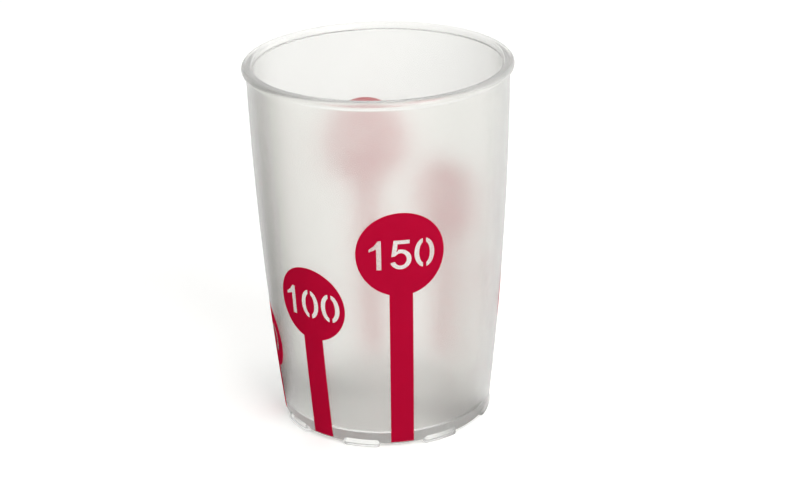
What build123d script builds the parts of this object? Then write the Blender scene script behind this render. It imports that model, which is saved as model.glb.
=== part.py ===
"""Graduated tumbler: a one-piece moulded cup with printed volume marks.

Millimetres. The origin is the centre of the circle that the feet stand on, +Z is up, and the
front of the cup, where the 150 ml mark is printed, faces -Y.
"""

from build123d import *
import math
import os

# Wall and floor
height = 100.0  # from the surface it stands on to the top of the rim
mouth_radius = 34.8  # outside of the wall, at the rim
base_radius = 28.6  # outside of the wall, at its bottom edge
wall_bulge = 1.22  # how far the wall bows out from a straight cone
wall_thickness = 1.8
floor_thickness = 2.5
edge_round = 0.5  # outer edge of the underside
corner_round = 1.5  # inner corner between wall and floor

# Rim, a round bead with its centre on the outside of the wall
bead_radius = 1.1
bead_blend = 0.4  # hollow corner under the bead
lip_round = 0.9  # inner edge of the rim

# Feet, short bars on the standing ring with gaps between them where water drains off
foot_count = 8
foot_drop = 1.1  # how far the feet hold the underside off the surface
foot_rise = 1.4  # how far each foot climbs the wall above the underside
foot_proud = 0.3  # how far it stands out from the wall
foot_width = 2.8  # across the ring
foot_round = 0.6  # long edges
foot_end_round = 0.9  # corners at its two ends, seen from below

# Shallow recess in the middle of the underside, where the mould is fed
gate_radius = 4.0
gate_depth = 0.4

# Printed marks: a disc at the level it names, on a stem that runs down into a gap between feet
mark_gaps = {50: -2, 100: -1, 150: 0, 75: 2, 125: 3, 175: 4}  # ml: gaps counted from the front
ink_thickness = 0.1
ink_gap = 0.05  # keeps the film and the wall apart as solids
stem_width = 6.2
stem_clearance = 3.0  # between a stem and the foot beside it
empty_disc_radius = 8.0  # the radius that a disc for 0 ml would have
disc_growth = 0.025  # added to that for each millilitre

underside = foot_drop
floor_top = underside + floor_thickness
stem_end = underside + edge_round
gap_pitch = 360 / foot_count
foot_span = gap_pitch - math.degrees((stem_width + 2 * stem_clearance) / base_radius)


def wall_arc():
    """Centre radius, centre height and radius of the arc that the outside of the wall follows."""
    flare, rise = mouth_radius - base_radius, height - underside
    chord = math.hypot(flare, rise)
    arc_radius = (chord**2 / 4 + wall_bulge**2) / (2 * wall_bulge)
    reach = arc_radius - wall_bulge
    centre_radius = (mouth_radius + base_radius) / 2 - reach * rise / chord
    centre_height = (height + underside) / 2 + reach * flare / chord
    return centre_radius, centre_height, arc_radius


def wall_radius(z, offset=0.0):
    """Radius, at height z, of the surface that lies offset outside the wall."""
    centre_radius, centre_height, arc_radius = wall_arc()
    return centre_radius + math.sqrt((arc_radius + offset) ** 2 - (z - centre_height) ** 2)


def wall_line(low, high, offset=0.0):
    """Points of an arc from the height low to the height high, that far outside the wall."""
    return [(wall_radius(z, offset), z) for z in (low, (low + high) / 2, high)]


def volume_below(z, slices=60):
    """Millilitres in the cup when it is filled to the height z."""
    thickness = (z - floor_top) / slices
    middles = [floor_top + (i + 0.5) * thickness for i in range(slices)]
    return sum(math.pi * wall_radius(m, -wall_thickness) ** 2 * thickness for m in middles) / 1000


def fill_level(volume, halvings=40):
    """Height of the surface when the cup holds that many millilitres."""
    low, high = floor_top, height
    for _ in range(halvings):
        middle = (low + high) / 2
        if volume_below(middle) < volume:
            low = middle
        else:
            high = middle
    return (low + high) / 2


def gap_plane(gap):
    """Upright plane through the cup's axis that faces out over a gap, counted from the front."""
    angle = math.radians(gap * gap_pitch)
    return Plane(
        origin=(0, 0, 0),
        x_dir=(math.cos(angle), math.sin(angle), 0),
        z_dir=(math.sin(angle), -math.cos(angle), 0),
    )


# One foot: a stretch of a ring, rounded along its outside and at both ends
with BuildPart() as foot:
    with BuildSketch(Plane.XZ) as foot_section:
        with Locations((base_radius + foot_proud, 0)):
            Rectangle(foot_width, foot_drop + foot_rise, align=(Align.MAX, Align.MIN))
    revolve(axis=Axis.Z, revolution_arc=foot_span)
    fillet(foot.edges().filter_by(Axis.Z), foot_end_round)
    fillet(foot.faces().filter_by(Axis.Z).edges(), foot_round)

# Tumbler: wall, floor and rim turned from one section, then the feet and the gate recess
with BuildPart() as tumbler:
    with BuildSketch(Plane.XZ) as section:
        with BuildLine() as wall_outline:
            outside = ThreePointArc(*wall_line(underside, height))
            inside = ThreePointArc(*wall_line(floor_top, height, -wall_thickness))
            Line(outside @ 1, inside @ 1)
            Polyline(inside @ 0, (0, floor_top), (0, underside), outside @ 0)
        make_face()
        with Locations((mouth_radius, height - bead_radius)):
            Circle(bead_radius)
        under_bead = (wall_radius(height - 2 * bead_radius), height - 2 * bead_radius)
        for corner, radius in (
            (inside @ 0, corner_round),
            (inside @ 1, lip_round),
            (outside @ 0, edge_round),
            (under_bead, bead_blend),
        ):
            fillet(section.vertices().sort_by_distance(corner)[0], radius)
    revolve(axis=Axis.Z)
    with PolarLocations(0, foot_count, start_angle=gap_pitch / 2 - foot_span / 2):
        add(foot.part)
    with BuildSketch(Plane.XY.offset(underside)) as gate:
        Circle(gate_radius)
    extrude(amount=gate_depth, mode=Mode.SUBTRACT)
tumbler.part.label = "tumbler"


def scale_mark(volume, gap):
    """Film of ink on the wall: the disc at the level of that volume, and its stem."""
    level = fill_level(volume)
    disc_radius = empty_disc_radius + disc_growth * volume
    girth_radius = wall_radius(level)
    top = level + disc_radius
    with BuildPart() as mark:
        with BuildSketch(gap_plane(gap)) as outline:
            # A circle laid round the wall is narrower than it is tall when seen from straight ahead
            with Locations((0, level)):
                Ellipse(girth_radius * math.sin(disc_radius / girth_radius), disc_radius)
            with Locations((0, stem_end)):
                Rectangle(stem_width, level - stem_end, align=(Align.CENTER, Align.MIN))
        extrude(amount=2 * mouth_radius)
        with BuildSketch(Plane.XZ) as film:
            with BuildLine():
                wall_side = ThreePointArc(*wall_line(stem_end, top, ink_gap))
                open_side = ThreePointArc(*wall_line(stem_end, top, ink_gap + ink_thickness))
                Line(wall_side @ 0, open_side @ 0)
                Line(wall_side @ 1, open_side @ 1)
            make_face()
        revolve(axis=Axis.Z, mode=Mode.INTERSECT)
    mark.part.label = f"scale_mark_{volume}"
    return mark.part


os.makedirs("parts", exist_ok=True)
export_step(tumbler.part, "parts/tumbler.step")
for volume, gap in mark_gaps.items():
    export_step(scale_mark(volume, gap), f"parts/scale_mark_{volume}.step")
    print(f"{volume} ml fills it to {fill_level(volume):.2f} mm")
print(f"brimful it holds {volume_below(height):.0f} ml")
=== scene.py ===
import math

import bmesh
import bpy
from mathutils import Euler, Matrix, Vector


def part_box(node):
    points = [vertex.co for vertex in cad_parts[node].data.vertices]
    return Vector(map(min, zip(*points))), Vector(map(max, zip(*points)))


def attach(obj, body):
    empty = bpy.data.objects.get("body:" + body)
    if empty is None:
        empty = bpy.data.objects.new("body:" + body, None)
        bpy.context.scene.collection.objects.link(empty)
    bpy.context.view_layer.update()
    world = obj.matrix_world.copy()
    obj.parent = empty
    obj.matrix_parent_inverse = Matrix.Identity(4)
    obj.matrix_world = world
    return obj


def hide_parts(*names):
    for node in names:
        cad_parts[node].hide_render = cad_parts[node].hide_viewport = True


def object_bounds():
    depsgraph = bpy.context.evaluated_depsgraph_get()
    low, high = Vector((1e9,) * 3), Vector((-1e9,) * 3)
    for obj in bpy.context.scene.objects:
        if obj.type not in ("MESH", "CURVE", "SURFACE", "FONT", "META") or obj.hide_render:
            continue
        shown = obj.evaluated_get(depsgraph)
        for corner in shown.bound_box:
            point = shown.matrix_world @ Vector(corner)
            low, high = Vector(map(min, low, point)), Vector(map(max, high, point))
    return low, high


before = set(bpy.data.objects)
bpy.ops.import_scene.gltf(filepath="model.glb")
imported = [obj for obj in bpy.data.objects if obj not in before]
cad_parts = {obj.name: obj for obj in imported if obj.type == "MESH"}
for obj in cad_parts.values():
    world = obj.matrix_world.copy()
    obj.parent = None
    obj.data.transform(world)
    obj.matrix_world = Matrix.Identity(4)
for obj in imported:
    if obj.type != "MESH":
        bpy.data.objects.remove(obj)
cad_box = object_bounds()

MM = 0.001
WHITE = "#FFFFFF"

# The cup, as it is moulded
CUP_HEIGHT = cad_box[1].z
UNDERSIDE = 1.1 * MM  # held off the table by the feet
MOUTH_RADIUS = 34.8 * MM  # outside of the wall, at the rim
BASE_RADIUS = 28.6 * MM  # outside of the wall, at its bottom edge
WALL_BULGE = 1.22 * MM  # how far the wall bows out from a straight cone

# The printed marks
MARK_VOLUMES = (50, 75, 100, 125, 150, 175)  # ml
INK_LIFT = 0.03 * MM  # keeps the sheet of ink clear of the wall
STEM_WIDTH = 6.2 * MM
EMPTY_DISC_RADIUS = 8.0 * MM  # the radius that a disc for 0 ml would have
DISC_GROWTH = 0.025 * MM  # added to that for each millilitre
DISC_STEPS = 160  # straight pieces round a disc
STRIP_WIDTH = 0.6 * MM  # the ink bends from strip to strip round the wall
STRIP_HEIGHT = 3 * MM  # and from strip to strip up the wall
WELD_DISTANCE = 0.001 * MM

# Numerals knocked out of the discs, so that the plastic shows through
NUMERAL_HEIGHT = 8.2 * MM
NUMERAL_PITCH = 6.3 * MM
NUMERAL_STROKE = 1.25 * MM  # thickness of an upright stroke
NUMERAL_BAR = 1.05 * MM  # thickness of a level stroke
NUMERAL_BRIDGE = 0.9 * MM  # what holds the two halves of a nought apart
NUMERAL_STEPS = 24  # straight pieces along a curve

# Frosted polypropylene
PLASTIC_TINT = "#FFFFFC"  # natural, with no pigment
PLASTIC_IOR = 1.49
PLASTIC_ROUGHNESS = 0.27  # blurs what is 60 mm behind the wall and leaves what touches it sharp
CLEARNESS = 0.85  # the rest is white haze in the plastic
GRAIN_SIZE = 0.5 * MM  # the real grain is near 0.05 mm, too fine to show, so it is drawn coarser
GRAIN_DEPTH = 0.05 * MM
GRAIN_STRENGTH = 0.05

# Crimson screen ink
INK_SHADES = ("#A80C32", "#B01038")
INK_GLOW = "#F01040"  # the colour of light that has come through the film
INK_TRANSLUCENCE = 0.45  # lets the marks at the back show as pink through the cup
INK_IOR = 1.5
INK_ROUGHNESS = 0.5
INK_SHEEN = 0.0  # no highlight lies on the marks
MOTTLE_SIZE = 3 * MM  # the ink lies a little thicker in some places than in others

# The table and the backdrop
TABLE_SIZE = 6.0  # m, far past what the camera sees
TABLE_PAPER = "#F4F4F2"
TABLE_LIFT = 0.22  # brings the table up to white for the camera and leaves the shadow on it
# Painted shadow: seen through the plastic, the table's glow below the cup is painted darker
PAINTED_SHADOW_INNER = 22.5 * MM  # the table's glow is painted darker up to this radius, as a painted shadow of the cup
PAINTED_SHADOW_OUTER = 25.0 * MM  # and at full glow from this one
PAINTED_SHADOW_LEVEL = 0.4
BACKDROP_SIDE = (0.55, 0.835, 0.0)  # where the middle of the white backdrop stands, from the cup

# How bright it is round the cup: cosine of the angle from the backdrop's middle, and brightness.
# The dim stretches at both sides draw the edges of the wall.
ROUND_LIGHT = ((-1.0, 1.0), (-0.6, 0.9), (-0.3, 0.05), (0.05, 0.0), (0.38, 1.0), (1.0, 1.0))

# The lamps: name, place and size in millimetres, power in watts
LAMPS = (
    ("window", (500, 100, 450), (300, 500), 0.4),
    ("front", (360, -620, 500), (600, 600), 5.2),
)

# The camera, as fitted to the photograph
CAMERA_PLACE = (-67.6, -498.1, 259.2)  # mm
CAMERA_HEADING = 8.17  # degrees to the right of straight ahead
CAMERA_PITCH = 22.78  # degrees below level
CAMERA_ROLL = -1.41  # degrees
CAMERA_LENS = 90.68  # mm
CAMERA_SENSOR = 36.0  # mm wide


def linear(hex_colour):
    """RGBA in linear light from an sRGB hex value."""
    channels = [int(hex_colour[i : i + 2], 16) / 255 for i in (1, 3, 5)]
    return [c / 12.92 if c <= 0.04045 else ((c + 0.055) / 1.055) ** 2.4 for c in channels] + [1.0]


def add_node(tree, kind, settings=None, links=None):
    """Adds one node, with its settings by property, socket name or number, and its inputs linked."""
    node = tree.nodes.new(kind)
    for name, value in (settings or {}).items():
        if isinstance(name, str) and hasattr(node, name):
            setattr(node, name, value)
        else:
            node.inputs[name].default_value = value
    for name, source in (links or {}).items():
        tree.links.new(source, node.inputs[name])
    return node


def new_material(name):
    """An empty material, ready for its nodes."""
    material = bpy.data.materials.new(name)
    material.use_nodes = True
    material.node_tree.nodes.clear()
    return material


# Materials


def frosted_polypropylene():
    """Natural polypropylene, moulded against a blasted steel skin.

    To the eye it is a pale, milky wall. It lets light through and blurs what stands behind it.
    """
    material = new_material("frosted_polypropylene")
    tree = material.node_tree
    place = add_node(tree, "ShaderNodeTexCoord")
    grain = add_node(
        tree,
        "ShaderNodeTexNoise",
        {"Scale": 1 / GRAIN_SIZE, "Detail": 2.0},
        {"Vector": place.outputs["Object"]},
    )
    bump = add_node(
        tree,
        "ShaderNodeBump",
        {"Strength": GRAIN_STRENGTH, "Distance": GRAIN_DEPTH},
        {"Height": grain.outputs["Fac"]},
    )
    plastic = add_node(
        tree,
        "ShaderNodeBsdfPrincipled",
        {
            "Base Color": linear(PLASTIC_TINT),
            "Roughness": PLASTIC_ROUGHNESS,
            "IOR": PLASTIC_IOR,
            "Transmission Weight": CLEARNESS,
        },
        {"Normal": bump.outputs["Normal"]},
    )
    add_node(tree, "ShaderNodeOutputMaterial", links={"Surface": plastic.outputs["BSDF"]})
    return material


def crimson_ink():
    """Two-part ink, screen printed in one pass.

    To the eye it is a flat, even crimson from outside, and pink where light comes through it.
    """
    material = new_material("crimson_screen_ink")
    tree = material.node_tree
    place = add_node(tree, "ShaderNodeTexCoord")
    mottle = add_node(
        tree,
        "ShaderNodeTexNoise",
        {"Scale": 1 / MOTTLE_SIZE, "Detail": 3.0},
        {"Vector": place.outputs["Object"]},
    )
    shade = add_node(tree, "ShaderNodeValToRGB", links={"Fac": mottle.outputs["Fac"]})
    for element, colour in zip(shade.color_ramp.elements, INK_SHADES):
        element.color = linear(colour)
    film = add_node(
        tree,
        "ShaderNodeBsdfPrincipled",
        {"Roughness": INK_ROUGHNESS, "IOR": INK_IOR, "Specular IOR Level": INK_SHEEN},
        {"Base Color": shade.outputs["Color"]},
    )
    glow = add_node(tree, "ShaderNodeBsdfTranslucent", {"Color": linear(INK_GLOW)})
    ink = add_node(
        tree,
        "ShaderNodeMixShader",
        {0: INK_TRANSLUCENCE},
        {1: film.outputs["BSDF"], 2: glow.outputs["BSDF"]},
    )
    add_node(tree, "ShaderNodeOutputMaterial", links={"Surface": ink.outputs[0]})
    return material


# The marks


def wall_radius(height):
    """Radius of the outside of the wall, which follows an arc bowed out from a cone."""
    flare = MOUTH_RADIUS - BASE_RADIUS
    rise = CUP_HEIGHT - UNDERSIDE
    chord = math.hypot(flare, rise)
    arc_radius = (chord**2 / 4 + WALL_BULGE**2) / (2 * WALL_BULGE)
    reach = arc_radius - WALL_BULGE
    centre_radius = (MOUTH_RADIUS + BASE_RADIUS) / 2 - reach * rise / chord
    centre_height = (CUP_HEIGHT + UNDERSIDE) / 2 + reach * flare / chord
    return centre_radius + math.sqrt(arc_radius**2 - (height - centre_height) ** 2)


def arc(centre, radii, start, end, steps=NUMERAL_STEPS):
    """Points of an elliptical arc, with its angles in degrees."""
    angles = [math.radians(start + (end - start) * i / steps) for i in range(steps + 1)]
    return [
        Vector((centre[0] + radii[0] * math.cos(angle), centre[1] + radii[1] * math.sin(angle)))
        for angle in angles
    ]


# Each numeral is a list of closed outlines. Its corners are in millimetres from the left of its
# space, and in parts of its height from the bottom.


def one():
    """A slanting flag and a straight stem."""
    top = NUMERAL_HEIGHT
    left = 1.2 * MM
    right = 4.4 * MM
    stem = right - NUMERAL_STROKE
    return [[
        (right, 0),
        (right, top),
        (right - 0.8 * MM, top),
        (right - 1.85 * MM, 0.83 * top),
        (left, 0.71 * top),
        (left, 0.615 * top),
        (stem, 0.72 * top),
        (stem, 0),
    ]]


def two():
    """An arch that runs down into a flat foot."""
    top = NUMERAL_HEIGHT
    left = 0.35 * MM
    right = 5.85 * MM
    arch = (3.1 * MM, 0.71 * top)
    outside = (2.65 * MM, 0.29 * top)
    inside = (outside[0] - NUMERAL_STROKE, outside[1] - NUMERAL_BAR)
    foot = [
        (2.1 * MM, NUMERAL_BAR),
        (right, NUMERAL_BAR),
        (right, 0),
        (left, 0),
        (left + 0.3 * MM, 0.12 * top),
    ]
    return [arc(arch, inside, 170, -35) + foot + arc(arch, outside, -40, 170)]


def five():
    """A flat top, a leaning stem and an open bowl."""
    top = NUMERAL_HEIGHT
    left = 0.4 * MM
    bowl = (left + 2.7 * MM, 0.343 * top)
    outside = (2.85 * MM, 0.343 * top)
    inside = (outside[0] - NUMERAL_STROKE, outside[1] - NUMERAL_BAR)
    top_and_stem = [
        (left + 0.3 * MM, 0.44 * top),
        (left + 0.95 * MM, top),
        (left + 5.1 * MM, top),
        (left + 5.1 * MM, top - NUMERAL_BAR),
        (left + 1.95 * MM, top - NUMERAL_BAR),
        (left + 1.75 * MM, 0.6 * top),
    ]
    return [top_and_stem + arc(bowl, outside, 112, -160) + arc(bowl, inside, -160, 145)]


def seven():
    """A flat top and a curved leg."""
    top = NUMERAL_HEIGHT
    left = 0.5 * MM
    right = 5.85 * MM
    return [[
        (left, top),
        (right, top),
        (right, top - 0.95 * MM),
        (4.2 * MM, 0.6 * top),
        (3.25 * MM, 0.3 * top),
        (2.9 * MM, 0),
        (1.6 * MM, 0),
        (1.95 * MM, 0.3 * top),
        (2.85 * MM, 0.6 * top),
        (4.25 * MM, top - NUMERAL_BAR),
        (left, top - NUMERAL_BAR),
    ]]


def nought():
    """Two brackets, held apart by a bridge at the top and the bottom."""
    outside = (2.7 * MM, NUMERAL_HEIGHT / 2)
    inside = (outside[0] - NUMERAL_STROKE, outside[1] - NUMERAL_BAR)
    centre = (0.45 * MM + outside[0], NUMERAL_HEIGHT / 2)
    outer_end = math.degrees(math.acos(NUMERAL_BRIDGE / 2 / outside[0]))
    inner_end = math.degrees(math.acos(NUMERAL_BRIDGE / 2 / inside[0]))
    halves = []
    for turn in (0, 180):
        outer = arc(centre, outside, turn - outer_end, turn + outer_end)
        inner = arc(centre, inside, turn + inner_end, turn - inner_end)
        halves.append(outer + inner)
    return halves


NUMERALS = {"0": nought, "1": one, "2": two, "5": five, "7": seven}


def mark_outlines(volume, level, disc_radius, stem_end):
    """Flat artwork of one mark: along the girth and up the wall, with the numerals as holes."""
    half = STEM_WIDTH / 2
    shoulder = math.degrees(math.asin(half / disc_radius))
    disc = arc((0, level), (disc_radius, disc_radius), -90 + shoulder, 270 - shoulder, DISC_STEPS)
    outlines = [disc + [Vector((-half, stem_end)), Vector((half, stem_end))]]
    text = str(volume)
    start = -NUMERAL_PITCH * len(text) / 2
    for place, digit in enumerate(text):
        shift = Vector((start + NUMERAL_PITCH * place, level - NUMERAL_HEIGHT / 2))
        outlines += [[Vector(point) + shift for point in outline] for outline in NUMERALS[digit]()]
    return outlines


def flat_sheet(name, outlines):
    """Mesh of the area between closed outlines, cut into strips so that it can bend."""
    curve = bpy.data.curves.new(name, "CURVE")
    curve.dimensions = "2D"
    curve.fill_mode = "BOTH"
    for outline in outlines:
        spline = curve.splines.new("POLY")
        spline.points.add(len(outline) - 1)
        spline.use_cyclic_u = True
        for point, place in zip(spline.points, outline):
            point.co = (place.x, place.y, 0, 1)
    artwork = bpy.data.objects.new(name, curve)
    mesh = bpy.data.meshes.new_from_object(artwork)
    bpy.data.objects.remove(artwork)
    sheet = bmesh.new()
    sheet.from_mesh(mesh)
    low = Vector(min(v.co[i] for v in sheet.verts) for i in range(3))
    high = Vector(max(v.co[i] for v in sheet.verts) for i in range(3))
    for axis, step in ((0, STRIP_WIDTH), (1, STRIP_HEIGHT)):
        normal = Vector((axis == 0, axis == 1, 0))
        for i in range(1, int((high[axis] - low[axis]) / step) + 1):
            bmesh.ops.bisect_plane(
                sheet,
                geom=sheet.verts[:] + sheet.edges[:] + sheet.faces[:],
                plane_co=low + normal * step * i,
                plane_no=normal,
            )
    bmesh.ops.remove_doubles(sheet, verts=sheet.verts, dist=WELD_DISTANCE)
    sheet.to_mesh(mesh)
    sheet.free()
    return mesh


def printed_mark(volume, ink):
    """One mark as a sheet of ink wrapped on the wall, in place of the plain film of the model."""
    node = f"scale_mark_{volume}"
    low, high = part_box(node)
    heading = math.atan2(low.x + high.x, -(low.y + high.y))
    disc_radius = EMPTY_DISC_RADIUS + DISC_GROWTH * volume
    outlines = mark_outlines(volume, high.z - disc_radius, disc_radius, low.z)
    mesh = flat_sheet(f"ink_{volume}", outlines)
    for vertex in mesh.vertices:
        along, height, _ = vertex.co
        radius = wall_radius(height) + INK_LIFT
        angle = heading + along / radius
        vertex.co = (radius * math.sin(angle), -radius * math.cos(angle), height)
    mesh.materials.append(ink)
    mark = bpy.data.objects.new(f"ink_{volume}", mesh)
    bpy.context.collection.objects.link(mark)
    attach(mark, "root")
    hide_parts(node)


# The studio


def surround(tree, direction):
    """Brightness of what stands round the cup in a direction, as ROUND_LIGHT lists it."""
    # The height is left out, so that only the compass direction counts
    level = add_node(
        tree,
        "ShaderNodeVectorMath",
        {"operation": "MULTIPLY", 1: (1, 1, 0)},
        {0: direction},
    )
    unit = add_node(tree, "ShaderNodeVectorMath", {"operation": "NORMALIZE"}, {0: level.outputs[0]})
    behind = add_node(
        tree,
        "ShaderNodeVectorMath",
        {"operation": "DOT_PRODUCT", 1: Vector(BACKDROP_SIDE).normalized()},
        {0: unit.outputs[0]},
    )
    span = add_node(
        tree,
        "ShaderNodeMapRange",
        {"From Min": -1.0, "From Max": 1.0},
        {"Value": behind.outputs["Value"]},
    )
    ramp = add_node(tree, "ShaderNodeValToRGB", links={"Fac": span.outputs[0]})
    elements = ramp.color_ramp.elements
    while len(elements) < len(ROUND_LIGHT):
        elements.new(0.5)  # each one goes to its own place below
    for element, (side, value) in zip(elements, ROUND_LIGHT):
        element.position = (side + 1) / 2
        element.color = (value, value, value, 1)
    return ramp.outputs["Color"]


def table_top():
    """White paper to the lamps. The camera sees it lifted to white, with the cup's shadow on it.

    Through the plastic it is as bright as the backdrop on that side, with a painted shadow below the
    cup.
    """
    material = new_material("white_paper")
    tree = material.node_tree
    place = add_node(tree, "ShaderNodeTexCoord")
    ray = add_node(tree, "ShaderNodeLightPath")
    paper = add_node(tree, "ShaderNodeBsdfDiffuse", {"Color": linear(TABLE_PAPER)})
    lift = add_node(tree, "ShaderNodeEmission", {"Color": linear(WHITE), "Strength": TABLE_LIFT})
    seen = add_node(tree, "ShaderNodeAddShader", links={0: paper.outputs[0], 1: lift.outputs[0]})
    reach = add_node(
        tree,
        "ShaderNodeVectorMath",
        {"operation": "LENGTH"},
        {0: place.outputs["Object"]},
    )
    # painted shadow: the glow is painted darker below the cup
    shade = add_node(
        tree,
        "ShaderNodeMapRange",
        {"From Min": PAINTED_SHADOW_INNER, "From Max": PAINTED_SHADOW_OUTER, "To Min": PAINTED_SHADOW_LEVEL, "To Max": 1.0},
        {"Value": reach.outputs["Value"]},
    )
    glow = add_node(
        tree,
        "ShaderNodeEmission",
        links={"Color": surround(tree, place.outputs["Object"]), "Strength": shade.outputs[0]},
    )
    through = add_node(
        tree,
        "ShaderNodeMath",
        {"operation": "MAXIMUM"},
        {0: ray.outputs["Is Transmission Ray"], 1: ray.outputs["Is Glossy Ray"]},
    )
    by_the_cup = add_node(
        tree,
        "ShaderNodeMixShader",
        links={0: through.outputs[0], 1: paper.outputs[0], 2: glow.outputs[0]},
    )
    mixed = add_node(
        tree,
        "ShaderNodeMixShader",
        links={0: ray.outputs["Is Camera Ray"], 1: by_the_cup.outputs[0], 2: seen.outputs[0]},
    )
    add_node(tree, "ShaderNodeOutputMaterial", links={"Surface": mixed.outputs[0]})
    return material


def studio_floor():
    """The table that the cup stands on."""
    mesh = bpy.data.meshes.new("studio_floor")
    half = TABLE_SIZE / 2
    corners = [(-half, -half, 0), (half, -half, 0), (half, half, 0), (-half, half, 0)]
    mesh.from_pydata(corners, [], [(0, 1, 2, 3)])
    mesh.materials.append(table_top())
    floor = bpy.data.objects.new("studio_floor", mesh)
    bpy.context.collection.objects.link(floor)


def studio_world():
    """White to the camera. To the cup it is white behind and in front, and dim at its sides."""
    world = bpy.data.worlds.new("studio")
    bpy.context.scene.world = world
    world.use_nodes = True
    tree = world.node_tree
    tree.nodes.clear()
    ray = add_node(tree, "ShaderNodeLightPath")
    place = add_node(tree, "ShaderNodeTexCoord")
    shaded = add_node(
        tree,
        "ShaderNodeBackground",
        {"Strength": 1.0},
        {"Color": surround(tree, place.outputs["Generated"])},
    )
    white = add_node(tree, "ShaderNodeBackground", {"Color": linear(WHITE), "Strength": 1.0})
    mixed = add_node(
        tree,
        "ShaderNodeMixShader",
        links={0: ray.outputs["Is Camera Ray"], 1: shaded.outputs[0], 2: white.outputs[0]},
    )
    add_node(tree, "ShaderNodeOutputWorld", links={"Surface": mixed.outputs[0]})


def soft_box(name, place, size, power):
    """A rectangular lamp that faces the middle of the cup."""
    light = bpy.data.lights.new(name, "AREA")
    light.shape = "RECTANGLE"
    light.size = size[0] * MM
    light.size_y = size[1] * MM
    light.energy = power
    lamp = bpy.data.objects.new(name, light)
    bpy.context.collection.objects.link(lamp)
    lamp.location = Vector(place) * MM
    aim = Vector((0, 0, CUP_HEIGHT / 2)) - lamp.location
    lamp.rotation_euler = aim.to_track_quat("-Z", "Y").to_euler()


def camera():
    """The photograph's view: a long lens, a little to the left of the 150 ml mark, above the rim."""
    data = bpy.data.cameras.new("camera")
    data.sensor_width = CAMERA_SENSOR
    data.lens = CAMERA_LENS
    view = bpy.data.objects.new("camera", data)
    bpy.context.collection.objects.link(view)
    view.location = Vector(CAMERA_PLACE) * MM
    tilt = math.radians(90 - CAMERA_PITCH)
    aim = Euler((tilt, 0, -math.radians(CAMERA_HEADING))).to_matrix()
    roll = Matrix.Rotation(math.radians(CAMERA_ROLL), 3, "Z")
    view.rotation_euler = (aim @ roll).to_euler()
    bpy.context.scene.camera = view


plastic = frosted_polypropylene()
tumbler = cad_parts["tumbler"]
tumbler.data.materials.clear()
tumbler.data.materials.append(plastic)

ink = crimson_ink()
for volume in MARK_VOLUMES:
    printed_mark(volume, ink)

studio_floor()
studio_world()
for lamp in LAMPS:
    soft_box(*lamp)
camera()
bpy.context.scene.view_settings.view_transform = "Standard"
